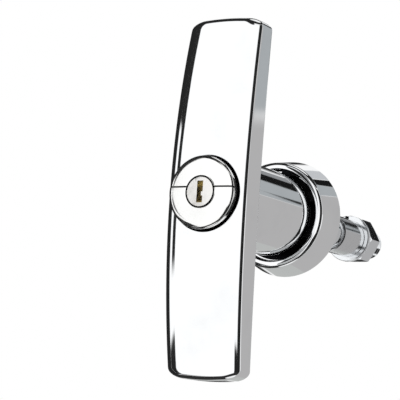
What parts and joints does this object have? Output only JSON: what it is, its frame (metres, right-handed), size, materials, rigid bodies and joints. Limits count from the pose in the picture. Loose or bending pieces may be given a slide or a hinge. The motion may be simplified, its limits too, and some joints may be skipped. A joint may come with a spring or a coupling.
{
  "type": "twist handle lock",
  "caption": "Locking T-handle for a panel door: barrel-shaped bowed grip on a stem with a key cylinder, rosette and threaded spindle.",
  "frame": {"origin": "centre of the rosette's back face, on the spindle's axis, where the lock meets the door", "axes": "+Y along the spindle, back through the door; +Z along the upright grip; +X to the right as seen from the front"},
  "size_m": [0.038, 0.1217, 0.1116],
  "materials": {
    "chrome_plate": "polished chrome on a zinc casting",
    "cylinder_chrome": "polished chrome",
    "plug_chrome": "satin chrome face on brass",
    "tumbler_brass": "bare brass",
    "zinc_steel": "bright zinc plate",
    "sleeve_steel": "turned steel",
    "cam_steel": "ground steel",
    "spring_steel": "spring steel, plain",
    "bush_plastic": "moulded black acetal",
    "seal_rubber": "black rubber"
  },
  "bodies": {
    "rosette": {"rosette": "chrome_plate", "bearing_bush": "bush_plastic", "disc_spring": "spring_steel"},
    "handle": {"handle_casting": "chrome_plate", "lock_housing": "cylinder_chrome", "lock_retaining_pin": "spring_steel", "sealing_ring": "seal_rubber", "spindle": "zinc_steel", "spindle_cross_pin": "spring_steel", "spacer_sleeve": "sleeve_steel", "lock_washer": "zinc_steel", "hex_nut": "zinc_steel", "stem_circlip": "spring_steel"},
    "plug": {"key_plug": "plug_chrome", "plug_clip": "spring_steel", "bolt_cam": "cam_steel", "cam_pin": "spring_steel", "tumbler_spring_1": "spring_steel", "tumbler_spring_2": "spring_steel", "tumbler_spring_3": "spring_steel", "tumbler_spring_4": "spring_steel", "tumbler_spring_5": "spring_steel"},
    "bolt": {"locking_bolt": "cam_steel"},
    "tumblers": {"tumbler_1": "tumbler_brass", "tumbler_2": "tumbler_brass", "tumbler_3": "tumbler_brass", "tumbler_4": "tumbler_brass", "tumbler_5": "tumbler_brass"}
  },
  "joints": [
    {"name": "handle_turn", "type": "hinge", "parent": "rosette", "child": "handle", "pos_m": [0, 0, 0], "axis": [0, 1, 0], "range_deg": [0, 90]},
    {"name": "key_turn", "type": "hinge", "parent": "handle", "child": "plug", "pos_m": [0, 0, 0], "axis": [0, 1, 0], "range_deg": [0, 90]},
    {"name": "bolt_slide", "type": "slide", "parent": "handle", "child": "bolt", "axis": [1, 0, 0], "range_m": [0, 0.00312]},
    {"name": "tumbler_lift", "type": "slide", "parent": "plug", "child": "tumblers", "axis": [0, 0, 1], "range_m": [0, 0.0007], "deforming": ["tumbler_spring_1", "tumbler_spring_2", "tumbler_spring_3", "tumbler_spring_4", "tumbler_spring_5"]}
  ],
  "couplings": [
    {"joint": "bolt_slide", "follows": "key_turn", "m_per_rad": 0.0019807}
  ]
}
